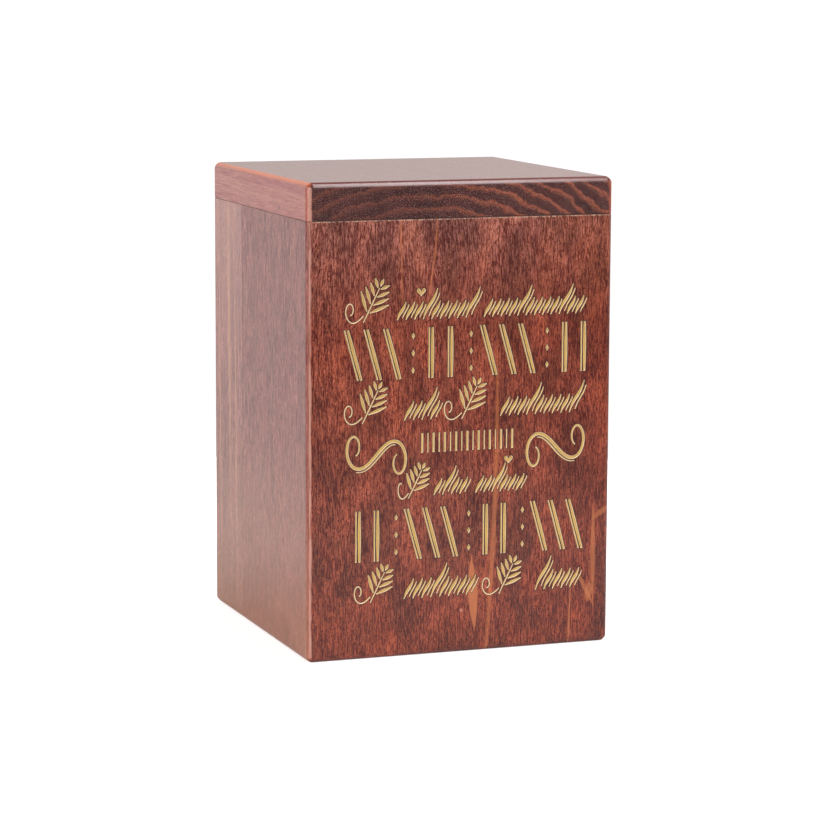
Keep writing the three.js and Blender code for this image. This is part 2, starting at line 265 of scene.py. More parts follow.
class WoodFigure:
    """The figure of one board: where each pattern of its grain is strong."""

    def __init__(self, tree, grain, shift, stretch):
        self.add = add = partial(node, tree)
        self.place = add("ShaderNodeTexCoord", output="Object")
        self.axes = add("ShaderNodeSeparateXYZ", {}, {0: self.place}).node.outputs
        facing = add("ShaderNodeTexCoord", output="Normal")
        self.facing = add("ShaderNodeSeparateXYZ", {}, {0: facing}).node.outputs
        self.shade = None
        self.noises = {}
        grown = self.place
        # Each pattern's size across and along the grain in millimetres, and its detail. Real
        # fibres and pores are finer: they are drawn as coarse as they need to be to show.
        for number, (pattern, across, along, detail) in enumerate((
            ("wander", 18, 70, 1),
            ("cloud", 17, 32, 3),
            ("band", 4, 90, 2),
            ("strand", 0.8, 14, 2.5),
            ("fibre", 0.46, 3.2, 3),
            ("pore", 0.42, 1.3, 1),
            ("line", 0.35, 9, 2),
        )):
            scale = [1 / (across * MM)] * 3
            scale[grain] = 1 / (along * stretch * MM)
            spot = add("ShaderNodeMapping", {}, {
                "Vector": grown, "Location": [shift + 3.7 * number] * 3, "Scale": scale,
            })
            noise = add("ShaderNodeTexNoise", {}, {
                "Vector": spot, "Scale": 1, "Detail": detail, "Roughness": 0.6,
            }).node.outputs
            self.noises[pattern] = noise["Fac"]
            if pattern == "wander":
                # The grain wanders to and fro by a few millimetres
                swing = [WANDER] * 3
                swing[grain] = 0
                grown = add("ShaderNodeVectorMath", MULTIPLY_ADD, {
                    0: noise["Color"], 1: swing, 2: self.place,
                })

    def cover(self, tone, value, start, stop, strength, where=None, blend="MIX"):
        """Lays a colour where a value lies past `start`, in full from `stop` on."""
        mask = self.add("ShaderNodeMapRange", {}, {
            "Value": value, "From Min": start, "From Max": stop, "To Max": strength,
        })
        if where is not None:
            mask = self.add("ShaderNodeMath", MULTIPLY, {0: mask, 1: where})
        self.shade = self.add("ShaderNodeMix", {**COLOURS, "blend_type": blend}, {
            0: mask, MIX_A: self.shade, MIX_B: opaque(tone),
        }, MIXED)

    def stain(self, layers, contrast):
        """Lays tones of stain, each where one of the grain's patterns is strong."""
        for tone, pattern, start, stop, strength in layers:
            self.cover(tone, self.noises[pattern], start, stop, strength * contrast)

    def blotches(self, share):
        """Broad patches that were wiped darker or paler, by a share of their colour."""
        for sign, start, stop in ((-1, 0.49, 0.60), (1, 0.48, 0.37)):
            tint = [1 + sign * share] * 3
            self.cover(tint, self.noises["cloud"], start, stop, 1, blend="MULTIPLY")

    def streaks(self, axis, tone, lenses):
        """Hard grain lines, each a long lens that may slope and bow."""
        if not lenses:
            return
        add = self.add
        wobble = add("ShaderNodeMath", MULTIPLY_ADD, {
            0: self.noises["strand"], 1: 1.2 * MM, 2: -0.6 * MM,
        })
        aside = add("ShaderNodeMath", ADD, {0: self.axes[axis], 1: wobble})
        for across, up, half_length, half_width, slope, bow, soft, strength in lenses:
            share = add("ShaderNodeMath", MULTIPLY_ADD, {
                0: self.axes["Z"], 1: 1 / (half_length * MM), 2: -up / half_length,
            })
            square = add("ShaderNodeMath", MULTIPLY, {0: share, 1: share})
            leaning = add("ShaderNodeMath", MULTIPLY_ADD, {
                0: share, 1: slope * half_length * MM, 2: across * MM,
            })
            centre = add("ShaderNodeMath", MULTIPLY_ADD, {0: square, 1: bow * MM, 2: leaning})
            away = add("ShaderNodeMath", SUBTRACT, {0: aside, 1: centre})
            far = add("ShaderNodeMath", ABSOLUTE, {0: away})
            past = add("ShaderNodeMath", MULTIPLY_ADD, {0: square, 1: half_width * MM, 2: far})
            self.cover(tone, past, (half_width + soft) * MM, half_width * MM, strength)

    def end_grain(self, dark, pore, ring, speck):
        """The sawn ends of a board: dark, because they drink stain, with growth rings."""
        add = self.add
        end = add("ShaderNodeMath", ABSOLUTE, {0: self.facing["Y"]})
        end = add("ShaderNodeMapRange", {}, {"Value": end, "From Min": 0.6, "From Max": 0.85})
        self.cover(dark, end, 0, 1, 0.94)

        centre = (-RING_CENTRE.x, 0, -RING_CENTRE.z)
        spoke = add("ShaderNodeVectorMath", MULTIPLY_ADD, {
            0: self.place, 1: (1, 0, 1), 2: centre,
        })
        radius = add("ShaderNodeVectorMath", {"operation": "LENGTH"}, {0: spoke}, "Value")
        count = add("ShaderNodeMath", MULTIPLY, {0: radius, 1: 1 / RING_SPACING})
        for pattern, swing in (("cloud", 1.2), ("band", 0.5), ("pore", 0.2)):
            count = add("ShaderNodeMath", MULTIPLY_ADD, {
                0: self.noises[pattern], 1: swing, 2: count,
            })
        phase = add("ShaderNodeMath", FRACTION, {0: count})
        crisp = add("ShaderNodeMapRange", {}, {"Value": phase, "From Min": 1, "From Max": 0.86})
        right = add("ShaderNodeMapRange", {}, {
            "Value": self.axes["X"], "From Min": -0.4 * HALF_WIDTH,
            "From Max": 0.3 * HALF_WIDTH, "To Min": 0.35, "To Max": 1,
        })
        patchy = add("ShaderNodeMapRange", {}, {
            "Value": self.noises["strand"], "From Min": 0.30, "From Max": 0.50,
        })
        where = end
        for share in (crisp, right, patchy):
            where = add("ShaderNodeMath", MULTIPLY, {0: where, 1: share})
        self.cover(pore, self.noises["cloud"], 0.50, 0.62, 0.5, end)
        self.cover(ring, phase, 0.50, 0.90, 1, where)
        self.cover(pore, self.noises["fibre"], 0.52, 0.62, 0.8, end)
        self.cover(speck, self.noises["pore"], 0.57, 0.64, 0.5, end)

    def spots(self, tone, spots):
        """Small round spots, such as a pin knot or a dab of filler."""
        for place, radius, strength in spots:
            away = self.add("ShaderNodeVectorMath", {"operation": "DISTANCE"}, {
                0: self.place, 1: place,
            }, "Value")
            self.cover(tone, away, radius, radius * 0.5, strength)

    def seam_line(self, height, half_width, tone, strength, dotted):
        """A fine level line, strongest on the front."""
        add = self.add
        away = add("ShaderNodeMath", SUBTRACT, {0: self.axes["Z"], 1: height})
        far = add("ShaderNodeMath", ABSOLUTE, {0: away})
        front = add("ShaderNodeMapRange", {}, {
            "Value": self.facing["Y"], "From Min": -0.3, "From Max": -0.8,
            "To Min": 0 if dotted else 0.2, "To Max": 1,
        })
        if dotted:
            gaps = add("ShaderNodeMapRange", {}, {
                "Value": self.noises["strand"], "From Min": 0.49, "From Max": 0.56,
            })
            front = add("ShaderNodeMath", MULTIPLY, {0: front, 1: gaps})
        self.cover(tone, far, half_width + 0.1 * MM, half_width, strength, front)

    def edge_wear_and_shade(self, edges):
        """Lays bands of colour on rounded edges, where the surface faces two ways: stain rubbed
        thin or bare, and on the lid a painted dark reflection.

        Each band leans towards the second way. The sign picks one pair of edges.
        """
        add = self.add
        # Brings the lean up to about 1 where it is strongest
        peak = 2.6
        # The band's ragged border: each noise wavers round a half, so they move it this far
        ragged = (("cloud", 0.7), ("strand", 0.6))
        moved = 0.65
        for first, second, sign, tone, start, stop, strength in edges:
            product = add("ShaderNodeMath", MULTIPLY, {
                0: self.facing[first], 1: self.facing[second],
            })
            second_way = add("ShaderNodeMath", ABSOLUTE, {0: self.facing[second]})
            leaning = add("ShaderNodeMath", MULTIPLY, {0: product, 1: second_way})
            band = add("ShaderNodeMath", MULTIPLY, {0: leaning, 1: sign * peak})
            for pattern, swing in ragged:
                band = add("ShaderNodeMath", MULTIPLY_ADD, {
                    0: self.noises[pattern], 1: swing, 2: band,
                })
            self.cover(tone, band, start + moved, stop + moved, strength)


def stained_wood(name, grain, tones, shift, contrast=1, stretch=1, patches=(), finish=None):
    """Solid hardwood, wiped with red stain and sprayed with satin lacquer.

    Up close the eye sees short pale and dark fibres along the grain, then long soft bands and
    cloudy patches where the stain sank in, all under one even, soft gloss. Hard grain lines
    stay pale, the ends of the grain go dark, and rubbed edges show the bare wood.
    """
    deep, middle, thin, pale = tones
    material, tree = new_material(name)
    figure = WoodFigure(tree, grain, shift, stretch)
    figure.shade = opaque(middle)
    figure.stain((
        (deep, "cloud", 0.49, 0.64, 0.85),
        (pale, "cloud", 0.47, 0.34, 0.45),
        (deep, "band", 0.52, 0.64, 0.45),
        (pale, "band", 0.47, 0.36, 0.28),
    ), contrast)
    figure.streaks("X", pale, patches)
    figure.stain((
        (deep, "strand", 0.50, 0.68, 0.70),
        (thin, "strand", 0.50, 0.32, 0.55),
        (deep, "fibre", 0.47, 0.65, 0.90),
        (thin, "fibre", 0.53, 0.33, 0.80),
        (deep, "line", 0.48, 0.66, 0.55),
        (thin, "line", 0.50, 0.34, 0.45),
        (deep, "pore", 0.55, 0.66, 0.65),
    ), contrast)
    if finish:
        finish(figure)
    sheen = node(tree, "ShaderNodeMapRange", {}, {
        "Value": figure.noises["fibre"], "To Min": 0.24, "To Max": 0.33,
    })
    bump = node(tree, "ShaderNodeBump", {}, {
        "Height": figure.noises["fibre"], "Strength": 0.3, "Distance": 0.04 * MM,
    })
    wood = node(tree, "ShaderNodeBsdfPrincipled", {}, {
        "Base Color": figure.shade, "Roughness": sheen, "Normal": bump, "IOR": 1.42,
    })
    node(tree, "ShaderNodeOutputMaterial", {}, {"Surface": wood})
    return material


def mahogany_tones(colours):
    """The main stain where it is deep, middling and thin, and the pale grain lines in it."""
    return colours.deep_stain, colours.stain, colours.thin_stain, colours.bare_streak


def worn_uprights(colours):
    """The upright edges that show: a bare line in the middle, and reddish beside it."""
    return (
        ("Y", "X", 1, colours.rubbed_red, 0.75, 1.0, 0.35),
        ("X", "Y", 1, colours.bare_edge, 0.8, 1.0, 0.85),
    )


def gold_paint(name, tone):
    """Matt gold acrylic, brushed into the grooves and a little uneven."""
    material, tree = new_material(name)
    place = node(tree, "ShaderNodeTexCoord", output="Object")
    uneven = node(tree, "ShaderNodeTexNoise", {}, {
        "Vector": place, "Scale": 1 / (1.2 * MM), "Detail": 2,
    })
    darker = [c * THIN_PAINT for c in tone]
    shade = node(tree, "ShaderNodeMix", COLOURS, {
        0: uneven, MIX_A: opaque(tone), MIX_B: opaque(darker),
    }, MIXED)
    bump = node(tree, "ShaderNodeBump", {}, {
        "Height": uneven, "Strength": 0.4, "Distance": 0.05 * MM,
    })
    paint = node(tree, "ShaderNodeBsdfPrincipled", {}, {
        "Base Color": shade, "Metallic": 0.15, "Roughness": 0.5, "Normal": bump,
    })
    node(tree, "ShaderNodeOutputMaterial", {}, {"Surface": paint})
    return material


def scorched_wood(colours):
    """Wood charred by the engraving tool: almost black, and dull."""
    material, tree = new_material("scorched_wood")
    char = node(tree, "ShaderNodeBsdfPrincipled", {}, {
        "Base Color": opaque(colours.scorch), "Roughness": 0.7,
    })
    node(tree, "ShaderNodeOutputMaterial", {}, {"Surface": char})
    return material


def round_over(shape, parts, radius, steps):
    """Rounds over the edges among some parts of a shape."""
    bmesh.ops.bevel(
        shape, geom=parts, affect="EDGES", offset=radius, segments=steps, profile=0.5,
        material=-1,
    )


def rounded_block(low, high, radius, steps):
    """A block between two corners with every edge rounded over."""
    shape = bmesh.new()
    spot = Matrix.Translation((low + high) / 2) @ Matrix.Diagonal((*(high - low), 1))
    bmesh.ops.create_cube(shape, size=1, matrix=spot)
    if radius:
        round_over(shape, shape.verts[:] + shape.edges[:], radius, steps)
    return shape


def cut_away(shape, point, direction, ease=0):
    """Cuts off what lies past a plane, closes the cut and eases the edges round it."""
    everything = shape.verts[:] + shape.edges[:] + shape.faces[:]
    cut = bmesh.ops.bisect_plane(
        shape, geom=everything, plane_co=point, plane_no=direction, clear_outer=True
    )["geom_cut"]
    rim = [part for part in cut if isinstance(part, bmesh.types.BMEdge)]
    bmesh.ops.holes_fill(shape, edges=rim, sides=0)
    if ease:
        round_over(shape, rim, ease, EASE_STEPS)


def to_object(name, shape, *materials):
    """Puts a finished shape into the scene as an object."""
    bmesh.ops.recalc_face_normals(shape, faces=shape.faces[:])
    mesh = bpy.data.meshes.new(name)
    shape.to_mesh(mesh)
    shape.free()
    for material in materials:
        mesh.materials.append(material)
    made = bpy.data.objects.new(name, mesh)
    bpy.context.collection.objects.link(made)
    return made


def combine(piece, others, operation):
    """Cuts other objects out of a piece, or joins them to it, for good."""
    for other in others:
        change = piece.modifiers.new("combine", "BOOLEAN")
        change.operation = operation
        change.solver = "EXACT"
        change.material_mode = "TRANSFER"
        change.object = other
    graph = bpy.context.evaluated_depsgraph_get()
    combined = bpy.data.meshes.new_from_object(piece.evaluated_get(graph))
    piece.modifiers.clear()
    piece.data = combined
    for other in others:
        bpy.data.objects.remove(other)


def finish_piece(piece, node_name):
    """Shades a piece smoothly and lets it stand for its node."""
    piece.data.shade_smooth()
    piece.data.set_sharp_from_angle(angle=math.radians(30))
    weighted = piece.modifiers.new("flat faces stay flat", "WEIGHTED_NORMAL")
    weighted.keep_sharp = True
    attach(piece, "root")
    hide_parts(node_name)


def wall_shape(sizes, facing):
    """One mitred side of the box, which faces along `facing`."""
    outside = rounded_block(CAD_LOW, CAD_HIGH, sizes.edge_round, EDGE_STEPS)
    cut_away(outside, Vector((0, 0, SEAM)), Vector((0, 0, 1)), sizes.seam_ease)
    inner = facing * (HALF_DEPTH - WALL)
    cut_away(outside, inner, -facing)
    along = Vector((0, 0, 1)).cross(facing)
    for end in (-1, 1):
        across = (along * end - facing).normalized()
        corner = facing * HALF_DEPTH + along * end * HALF_WIDTH
        cut_away(outside, corner - across * GLUE_LINE / 2, across)
    return outside


def cut_rebate(piece, sizes):
    """Cuts the rebate for the bottom board."""
    half = Vector((HALF_WIDTH - WALL + sizes.rebate, HALF_DEPTH - WALL + sizes.rebate, 0))
    low = -half - Vector((0, 0, SPARE))
    high = half + Vector((0, 0, BOTTOM_HIGH.z))
    combine(piece, [to_object("rebate", rounded_block(low, high, 0, 1))], "DIFFERENCE")


class UrnPanel:
    """Places and pens of the engraving, in metres on the front face."""

    def __init__(self, engraving):
        self.pens = engraving
        self.width = 2 * HALF_WIDTH - engraving.left_margin - engraving.right_margin
        self.height = TOP - engraving.top_margin - engraving.foot_margin

    def at(self, across, up):
        """A place on the panel, from shares of its width and height."""
        return Vector((
            -HALF_WIDTH + self.pens.left_margin + across * self.width,
            self.pens.foot_margin + up * self.height,
        ))


def swelling(thin, thick):
    """A pen that is thin at both ends of its stroke and swells between them."""
    return lambda t: thin + (thick - thin) * max(0, math.sin(math.pi * t)) ** 1.2


def even(width):
    """A pen that keeps its width."""
    return lambda t: width


def pen_outline(points, width_at, rim):
    """The outline that a pen draws along a line of points, with a rim round it."""
    last = len(points) - 1
    left, right = [], []
    for i, point in enumerate(points):
        along = (points[min(i + 1, last)] - points[max(i - 1, 0)]).normalized()
        across = Vector((-along.y, along.x)) * (width_at(i / last) / 2 + rim)
        end = along * rim * ((i == last) - (i == 0))
        left.append(point + end + across)
        right.append(point + end - across)
    return left + right[::-1]


def bowed_stroke(foot, head, bow, steps):
    """Points between two ends, bowed to the left by a share of the length."""
    aside = Vector((foot.y - head.y, head.x - foot.x)) * bow
    return [
        foot.lerp(head, i / steps) + aside * math.sin(2 * math.pi * i / steps)
        for i in range(steps + 1)
    ]


def curl(heading, turns, steps):
    """A line that sets out in a heading and curls ever tighter, through `turns` in all."""
    tightening = 2.1
    # Later points lie closer together, because the line bends more there
    crowding = 0.7
    points = [Vector((0, 0))]
    before = 0
    for i in range(1, steps + 1):
        along = (i / steps) ** crowding
        step = (along - before) / 2
        place = points[-1]
        for walked in (before + step * 0.5, before + step * 1.5):
            angle = heading + turns * 2 * math.pi * walked**tightening
            place = place + Vector((math.cos(angle), math.sin(angle))) * step
        points.append(place)
        before = along
    return points


def fill_field(points, start, end):
    """Stretches a line of points so that it fills the field between two corners."""
    low = Vector((min(p.x for p in points), min(p.y for p in points)))
    high = Vector((max(p.x for p in points), max(p.y for p in points)))
    return [
        Vector((
            start.x + (end.x - start.x) * (p.x - low.x) / (high.x - low.x),
            start.y + (end.y - start.y) * (p.y - low.y) / (high.y - low.y),
        ))
        for p in points
    ]


def heart(centre, width, rim):
    """A heart's outline, with straight flanks down to its tip."""
    # The curve below is 32 units wide
    size = (width + 2 * rim) / 32
    right = range(30, 136, 15)
    points = []
    for degrees in (0, *right, 180, *(360 - turned for turned in reversed(right))):
        a = math.radians(degrees)
        x = 16 * math.sin(a) ** 3
        y = 13 * math.cos(a) - 5 * math.cos(2 * a) - 2 * math.cos(3 * a) - math.cos(4 * a)
        points.append(centre + Vector((x, y)) * size)
    return points


def drop(centre, width, rim):
    """A drop's outline: a slim diamond."""
    x, y = width / 2 + rim, width * DROP_STRETCH / 2 + rim * 2
    return [centre + Vector(corner) for corner in ((0, -y), (x, 0), (0, y), (-x, 0))]


def slanted_row(panel, spans, foot, height, pitch, rise):
    """Slanted strokes in spans, each a thick stroke with a fine one behind it.

    One stroke in five rises above the rest.
    """
    risen = 1.7
    pens = panel.pens
    grooves = []
    count = 0
    for start_share, end_share in spans:
        beats = max(1, round((end_share - start_share) / pitch))
        step = (end_share - start_share) * panel.width / beats
        for i in range(beats):
            up = height * panel.height * (risen if count % 5 == rise else 1)
            start = panel.at(start_share + (end_share - start_share) * i / beats, foot)
            head = start + Vector((up * pens.slant, up))
            thick = bowed_stroke(start, head, 0.025, 4 * CURVE_STEPS)
            grooves.append((thick, swelling(pens.hair_pen, pens.thick_pen), 0.75))
            fine_foot = start + Vector((step * 0.5 + up * pens.slant * 0.1, up * 0.1))
            fine_head = fine_foot + Vector((up * pens.slant * 0.75, up * 0.75))
            fine = bowed_stroke(fine_foot, fine_head, 0.02, 2 * CURVE_STEPS)
            grooves.append((fine, swelling(pens.hair_pen, pens.fine_pen), 0.5))
            count += 1
    return grooves


def double_stroke(pens, foot, head):
    """A tall stroke with a fine one close beside it."""
    beside = Vector((pens.thick_pen / 2 + pens.inline_gap + pens.fine_pen / 2, 0))
    thick = bowed_stroke(foot, head, 0, 2 * CURVE_STEPS)
    fine = bowed_stroke(foot - beside, head - beside, 0, 1)
    return [
        (thick, lambda t: pens.thick_pen * (0.65 + 0.35 * math.sin(math.pi * t)), 0.75),
        (fine, even(pens.fine_pen), 0.5),
    ]


def tall_row(panel, start, stop, foot, height, groups, lean_first):
    """Tall marks: three that lean back and two upright ones in turn, with drops between."""
    grooves, drops = [], []
    up = Vector((0, height * panel.height))
    sizes = [2 if i % 2 == lean_first else 3 for i in range(groups)]
    places = sum(size + 1 for size in sizes) - 2
    place = 0
    for group, size in enumerate(sizes):
        aside = Vector((up.y * panel.pens.back_lean / 2 if size == 3 else 0, 0))
        for _ in range(size):
            middle = panel.at(start + (stop - start) * place / places, foot)
            grooves += double_stroke(panel.pens, middle + aside, middle - aside + up)
            place += 1
        if group < groups - 1:
            middle = panel.at(start + (stop - start) * place / places, foot)
            drops += [middle + up * share for share in (0.16, 0.5, 0.84)]
            place += 1
    return grooves, drops


def small_row(panel, start, stop, foot, height, count):
    """Small upright strokes, thick and fine in turn."""
    grooves = []
    for i in range(count):
        low = panel.at(start + (stop - start) * (i + 0.5) / count, foot)
        high = low + Vector((0, height * panel.height))
        width = panel.pens.fine_pen * 0.8 if i % 2 else panel.pens.thick_pen * 0.65
        grooves.append((bowed_stroke(low, high, 0, 1), even(width), 0.5))
    return grooves


def sprig(panel, low_share, high_share):
    """A slanted sprig: a stem, pairs of leaves that shorten to its tip, and a tendril."""
    pens = panel.pens
    pairs = 4
    low, high = panel.at(*low_share), panel.at(*high_share)
    height = high.y - low.y
    foot = Vector(((low.x + high.x) / 2 - height * pens.slant / 2, low.y))
    leaf_pen = swelling(pens.hair_pen, pens.thick_pen)

    def along(t):
        return foot + Vector((height * pens.slant * t, height * t))

    stem_pen = swelling(pens.hair_pen, pens.fine_pen)
    grooves = [(bowed_stroke(along(0), along(0.8), 0, 2 * CURVE_STEPS), stem_pen, 0.5)]
    for i in range(pairs):
        t = 0.2 + 0.55 * i / (pairs - 1)
        reach = height * (0.56 - 0.09 * i)
        for side in (-1, 1):
            angle = math.atan2(1, pens.slant) + side * 0.75
            way = Vector((math.cos(angle), math.sin(angle)))
            root = along(t) + way * pens.fine_pen * 1.6
            leaf = bowed_stroke(root, along(t) + way * reach, 0, 2 * CURVE_STEPS)
            grooves.append((leaf, leaf_pen, 0.6))
    tip = bowed_stroke(along(0.84), along(1), 0, 2 * CURVE_STEPS)
    grooves.append((tip, leaf_pen, 0.6))
    curl_head = Vector((low.x, low.y + height * 0.45))
    turns = min(1.1, (foot.x - low.x) / TENDRIL_TURN)
    tendril = fill_field(curl(-0.5, turns, round(6 * turns) * CURVE_STEPS), foot, curl_head)
    grooves.append((tendril, even(pens.hair_pen * 1.3), 0.4))
    return grooves


def scroll(panel, start_share, end_share):
    """A long scroll with a curl at each end, and a fine line beside its stem."""
    pens = panel.pens
    half = curl(0.55, -1.05, 14 * CURVE_STEPS)
    whole = [-point for point in half[:0:-1]] + half
    points = fill_field(whole, panel.at(*start_share), panel.at(*end_share))
    middle = len(half) - 1
    reach = 3 * CURVE_STEPS
    stem = points[middle - reach:middle + reach + 1]
    side = math.copysign(1, end_share[0] - start_share[0])
    aside = (pens.thick_pen / 2 + pens.inline_gap + pens.fine_pen / 2) * side
    last = len(stem) - 1
    beside = []
    for i, point in enumerate(stem):
        along = (stem[min(i + 1, last)] - stem[max(i - 1, 0)]).normalized()
        beside.append(point + Vector((along.y, -along.x)) * aside)
    return [
        (points, swelling(pens.fine_pen, pens.thick_pen), 0.6),
        (beside, swelling(pens.hair_pen, pens.fine_pen), 0.5),
    ]


def engraved_outlines(engraving):
    """Everything that is engraved: each outline with its share of the full depth."""
    panel = UrnPanel(engraving)
    grooves, drops = [], []
    for spans, foot, height, pitch, rise in (
        (((0.22, 0.53), (0.57, 0.98)), 0.872, 0.055, 0.035, 3),
        (((0.25, 0.39), (0.64, 0.96)), 0.564, 0.058, 0.036, 2),
        (((0.37, 0.51), (0.54, 0.74)), 0.328, 0.052, 0.034, 1),
        (((0.25, 0.54), (0.79, 0.97)), 0.01, 0.062, 0.036, 3),
    ):
        grooves += slanted_row(panel, spans, foot, height, pitch, rise)
    for start, stop, foot, height, lean_first in (
        (0.05, 0.985, 0.692, 0.155, 1),
        (0.07, 0.955, 0.133, 0.158, 0),
    ):
        strokes, between = tall_row(panel, start, stop, foot, height, 4, lean_first)
        grooves += strokes
        drops += between
    grooves += small_row(panel, 0.31, 0.7, 0.462, 0.06, 17)
    for low, high in (
        ((0.015, 0.868), (0.235, 0.998)),
        ((0.01, 0.56), (0.23, 0.685)),
        ((0.41, 0.56), (0.63, 0.685)),
        ((0.225, 0.322), (0.375, 0.43)),
        ((0.05, 0.006), (0.25, 0.122)),
        ((0.57, 0.006), (0.78, 0.122)),
    ):
        grooves += sprig(panel, low, high)
    for start, end in (((0.02, 0.402), (0.255, 0.522)), ((0.985, 0.402), (0.75, 0.522))):
        grooves += scroll(panel, start, end)

    outlines = [
        (pen_outline(points, pen, engraving.scorch * share), share)
        for points, pen, share in grooves
    ]
    rim = engraving.scorch * DROP_DEPTH
    outlines += [(drop(spot, engraving.drop_width, rim), DROP_DEPTH) for spot in drops]
    rim = engraving.scorch * HEART_DEPTH
    for across, up in ((0.315, 0.956), (0.674, 0.428)):
        outlines.append((heart(panel.at(across, up), engraving.heart_width, rim), HEART_DEPTH))
    return outlines


def groove_cutter(shape, outline, share, engraving):
    """Adds the solid that cuts one groove: a scorched rim, then sloping walls and a floor.

    A shallow stroke has a narrow rim, because the tool burnt it less.

    Material 0 is the scorched wood, 1 the paler paint on the walls, a painted highlight, and 2
    that on the floor.
    """
    corners = [shape.verts.new((p.x, -HALF_DEPTH - SPARE, p.y)) for p in outline]
    cap = shape.faces.new(corners)
    sunk = bmesh.ops.extrude_face_region(shape, geom=[cap])["geom"]
    floor = next(part for part in sunk if isinstance(part, bmesh.types.BMFace))
    bmesh.ops.translate(shape, verts=floor.verts[:], vec=(0, SPARE, 0))
    for inset, sink, material in (
        (engraving.scorch * share, SCORCH_DEPTH, 0),
        (engraving.wall_slope, engraving.depth * share - SCORCH_DEPTH, 1),
    ):
        ring = bmesh.ops.inset_individual(
            shape, faces=[floor], thickness=inset, use_even_offset=True
        )["faces"]
        bmesh.ops.translate(shape, verts=floor.verts[:], vec=(0, sink, 0))
        for side in ring:
            side.material_index = material
    floor.material_index = 2


def engrave(piece, engraving, paints):
    """Cuts all the grooves, in sets in which no two cutters touch."""
    sets = []
    for outline, share in engraved_outlines(engraving):
        low = Vector((min(p.x for p in outline), min(p.y for p in outline)))
        high = Vector((max(p.x for p in outline), max(p.y for p in outline)))
        for shape, boxes in sets:
            if all(
                low.x > above.x or high.x < below.x or low.y > above.y or high.y < below.y
                for below, above in boxes
            ):
                break
        else:
            shape, boxes = bmesh.new(), []
            sets.append((shape, boxes))
        boxes.append((low, high))
        groove_cutter(shape, outline, share, engraving)
    cutters = [to_object("grooves", shape, *paints) for shape, _ in sets]
    combine(piece, cutters, "DIFFERENCE")


